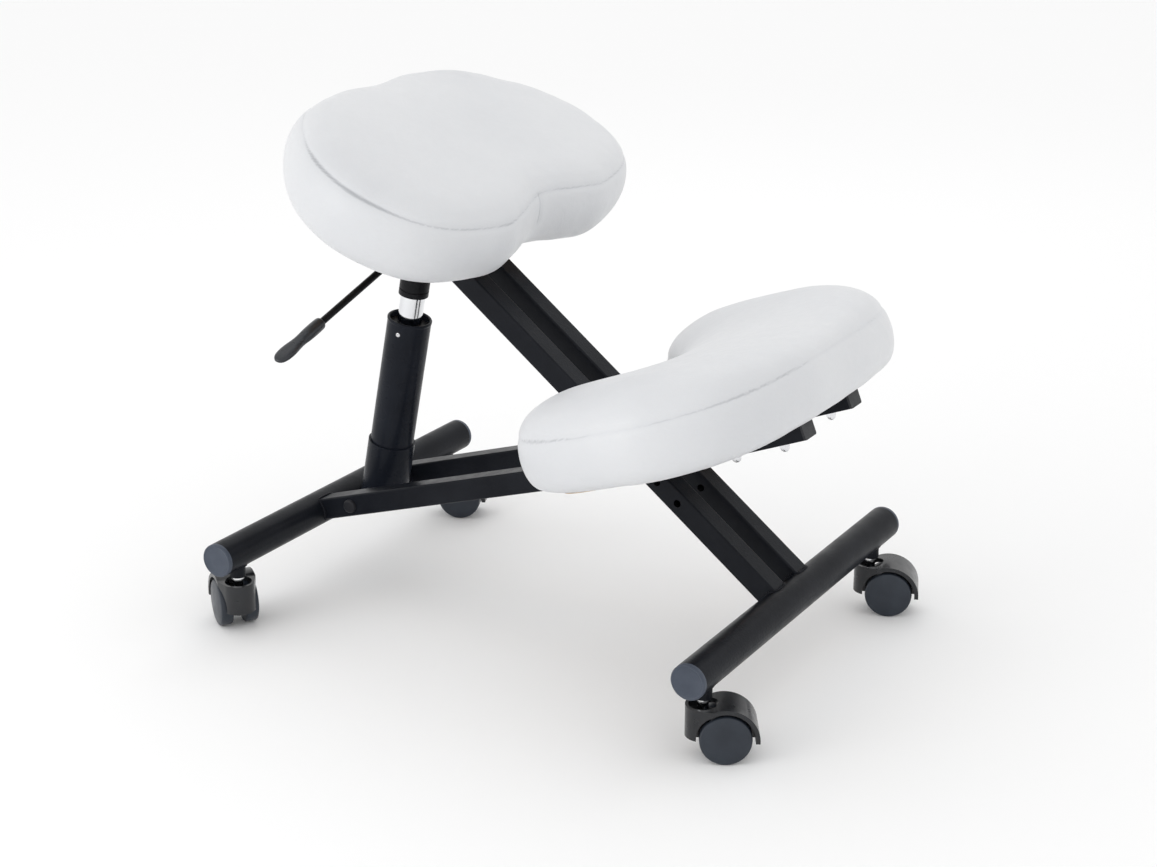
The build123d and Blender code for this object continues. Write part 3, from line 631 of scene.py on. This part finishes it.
# %% Wheels
SHOULDER_RADIUS = 24.6
dome = [(r, 21.6 + 2.5 * (1 - (r / SHOULDER_RADIUS) ** 2)) for r in np.linspace(SHOULDER_RADIUS, 0, 12)]
wheel_profile = [(0, 19), (3.05, 19), (3.05, 7.5), (24.3, 7.5), (25.5, 7.8), (26.3, 8.6), (26.5, 9.6),
                 (26.5, 18.4), (26.3, 19.9), (25.6, 21.1)] + dome
for corner in ("front_right", "front_left", "rear_right", "rear_left"):
    for hand, side in (("inner", 1), ("outer", -1)):
        spin = joints[f"{corner}_{hand}_spin"]
        hub = np.array(spin["pos_m"])
        wheel = surface("wheel", turned(wheel_profile, hub, np.array(spin["axis"]) * side, 96))
        finished(f"{corner}_{hand}_roller", [wheel], f"{corner}_{hand}", "wheel_plastic",
                 [f"{corner}_{hand}_wheel"], 30)
print("wheels: 8")

# %% [markdown]
# ## Weld beads
# Where a square tube meets an axle the bead follows the cut: at a height v across the tube it
# sits root(r^2 - v^2) along the tube from the axle's middle.  A ripple in its radius is the
# stack of solidified puddles.

# %% Welds
SQUARE = 25.0 * MM
AXLE_RADIUS = 19.0 * MM


def square_weld(centre, along, y):
    """Closed path round a square tube where it meets the axle."""
    t = np.linspace(0, 2 * np.pi, 160, endpoint=False)
    corner = (np.abs(np.cos(t)) ** 6 + np.abs(np.sin(t)) ** 6) ** (-1 / 6)
    half = SQUARE / 2 + 0.4 * MM
    side, rise = half * corner * np.cos(t), half * corner * np.sin(t)
    reach = np.sqrt(AXLE_RADIUS**2 - np.minimum(np.abs(rise), AXLE_RADIUS * 0.9) ** 2)
    up = np.cross(along, sideways)
    return centre + (y + side)[:, None] * sideways + rise[:, None] * up + reach[:, None] * along


beam_along = unit(*(seat_pivot - front_axle))
strut_along = unit(*(crossing - rear_axle))
for name, centre, along, nodes, body in (
        ("beam_welds", front_axle, beam_along, ("beam_left", "beam_right"), "front_frame"),
        ("strut_welds", rear_axle, strut_along, ("strut_left", "strut_right"), "rear_frame")):
    paths = [square_weld(centre * (1, 0, 1), along, middle(node)[1]) for node in nodes]
    beads = [surface("bead", bead(path, 1.7 * MM, 0.14, 40), loop_rows=True) for path in paths]
    finished(name, beads, body, "frame_paint", sharp=80)

for end, axle in (("front", front_axle), ("rear", rear_axle)):
    turn = np.linspace(0, 2 * np.pi, 96, endpoint=False)
    beads = []
    for corner in ("right", "left"):
        stem = np.array(joints[f"{end}_{corner}_swivel"]["pos_m"])
        x, y = 9.6 * MM * np.cos(turn), 9.6 * MM * np.sin(turn)
        z = axle[2] - np.sqrt(AXLE_RADIUS**2 - x**2)
        path = np.stack([stem[0] + x, stem[1] + y, z], axis=1)
        beads.append(surface("bead", bead(path, 1.3 * MM, 0.12, 26), loop_rows=True))
    finished(f"{end}_boss_welds", beads, f"{end}_frame", "frame_paint", sharp=80)
print("weld beads: 8")

# %% [markdown]
# ## Lever handle
# The paddle starts as a round sleeve on the rod, necks down and spreads into a flat rounded
# spoon.  Each cross-section is a superellipse, and its half-width and half-thickness change
# along the length.

# %% Handle
lever_pivot = np.array(joints["lever_pull"]["pos_m"])
DROOP = np.radians(19.1)
lever_along = unit(*(-sideways * np.cos(DROOP) - column_up * np.sin(DROOP)))
handle_start = lever_pivot + lever_along * (221 / np.cos(DROOP) - 76) * MM
flat_side = np.cross(column_forward, lever_along)

stations = np.array([0, 0, 1.2, 3, 14, 24, 30, 37, 44, 52, 60, 66, 71, 74, 75.6, 76])
half_width = np.array([0, 5.2, 6.4, 7.1, 7.3, 7.3, 6.9, 6.6, 7.4, 8.6, 8.9, 8.4, 7.0, 4.9, 2.4, 0])
half_depth = np.array([0, 5.2, 6.4, 7.1, 7.2, 6.9, 5.6, 4.3, 3.7, 3.5, 3.4, 3.3, 3.0, 2.4, 1.4, 0])
turn = np.linspace(0, 2 * np.pi, 48, endpoint=False)
square = 2 / np.interp(stations, [24, 50], [2.0, 3.2])
wide = np.sign(np.cos(turn)) * np.abs(np.cos(turn)) ** square[:, None] * half_width[:, None]
deep = np.sign(np.sin(turn)) * np.abs(np.sin(turn)) ** square[:, None] * half_depth[:, None]
skin = (handle_start + (stations[:, None, None] * lever_along + wide[..., None] * column_forward
                        + deep[..., None] * flat_side) * MM)
handle = finished("lever_handle", [surface("handle", skin)], "lever", "handle_plastic", ["lever_paddle"], 50)
finer = handle.modifiers.new("finer", "SUBSURF")
finer.levels = finer.render_levels = 2
print("handle done")

# %% [markdown]
# ## Small hardware
# A dimpled rivet near the top of the column tube, which holds the guide bush, and a rolled lip
# round the tube's mouth.

# %% Column details
tube_top = column_foot + column_up * 218 * MM
lip = [(22.6, -3), (22.6, -0.6), (23.0, 0.4), (24.0, 0.9), (25.0, 0.6), (25.5, -0.2), (25.5, -2.2), (25.05, -3)]
finished("tube_lip", [surface("lip", turned(lip, tube_top, column_up, 96), loop_rows=True)],
         "column", "column_paint", sharp=60)
rivet_line = unit(*(-sideways * 0.8 + column_forward * 0.1 - column_up * 0))
rivet_place = column_foot + column_up * 205 * MM + rivet_line * 24.6 * MM
rivet = [(0, -1), (2.6, -1), (2.6, 0.6), (2.2, 1.0), (1.4, 1.1), (0.9, 0.7), (0, 0.6)]
finished("tube_rivet", [surface("rivet", turned(rivet, rivet_place, rivet_line, 32))], "column", "inner_steel")
print("column details done")

# %% [markdown]
# ## Studio
# A pale floor, a big soft key from the viewer's left, a fill from the right, and an even pale
# surround, so shadows stay soft and fall to the right.

# %% Floor and light
floor_size = 60.0
floor_mesh = bpy.data.meshes.new("studio_floor")
edge = floor_size / 2
floor_mesh.from_pydata([(-edge, -edge, 0), (edge, -edge, 0), (edge, edge, 0), (-edge, edge, 0)], [], [(0, 1, 2, 3)])
floor = bpy.data.objects.new("studio_floor", floor_mesh)
bpy.context.scene.collection.objects.link(floor)
floor_finish, _, floor_shader, _ = new_finish("studio_white", Roughness=0.9)
floor_shader.inputs["Base Color"].default_value = (0.95, 0.95, 0.95, 1)
floor_mesh.materials.append(floor_finish)

azimuth, elevation = np.radians(30.7), np.radians(19.81)
back = np.array([np.sin(azimuth) * np.cos(elevation), -np.cos(azimuth) * np.cos(elevation), np.sin(elevation)])
right = np.array([np.cos(azimuth), np.sin(azimuth), 0.0])
aim = front_axle + np.array([-0.26563, 0, 0.13376])


def soft_light(name, place, size, watts):
    data = bpy.data.lights.new(name, "AREA")
    data.shape = "DISK"
    data.size = size
    data.energy = watts
    lamp = bpy.data.objects.new(name, data)
    lamp.location = place
    lamp.rotation_mode = "QUATERNION"
    lamp.rotation_quaternion = (Vector(place) - Vector(aim)).to_track_quat("Z", "Y")
    bpy.context.scene.collection.objects.link(lamp)


soft_light("key", aim + back * 1.6 - right * 2.2 + np.array([0, 0, 0.5]), 1.8, 15)
soft_light("rim", aim - back * 1.9 + right * 0.4 + np.array([0, 0, 2.2]), 1.6, 2)

world = bpy.data.worlds.new("studio")
world.use_nodes = True
world.node_tree.nodes["Background"].inputs["Color"].default_value = (1, 1, 1, 1)
world.node_tree.nodes["Background"].inputs["Strength"].default_value = 1.0
bpy.context.scene.world = world
bpy.context.scene.view_settings.view_transform = "Standard"
print("studio lit")

# %% [markdown]
# ## Camera
# A long lens from a little above, so the two axles stay nearly parallel.

# %% Camera
lens = bpy.data.cameras.new("camera")
lens.lens = 67.0
lens.sensor_width = 36.0
lens.clip_start, lens.clip_end = 0.1, 50
camera = bpy.data.objects.new("camera", lens)
camera.location = aim + back * 2.3646
camera.rotation_mode = "QUATERNION"
camera.rotation_quaternion = Vector(back).to_track_quat("Z", "Y")
bpy.context.scene.collection.objects.link(camera)
bpy.context.scene.camera = camera
print("camera %.2f m away" % np.linalg.norm(np.array(camera.location) - aim))

# %% [markdown]
# ## Bring the scene up to date
# The view layer is updated once more, after the last piece was added.

# %% Update
bpy.context.view_layer.update()
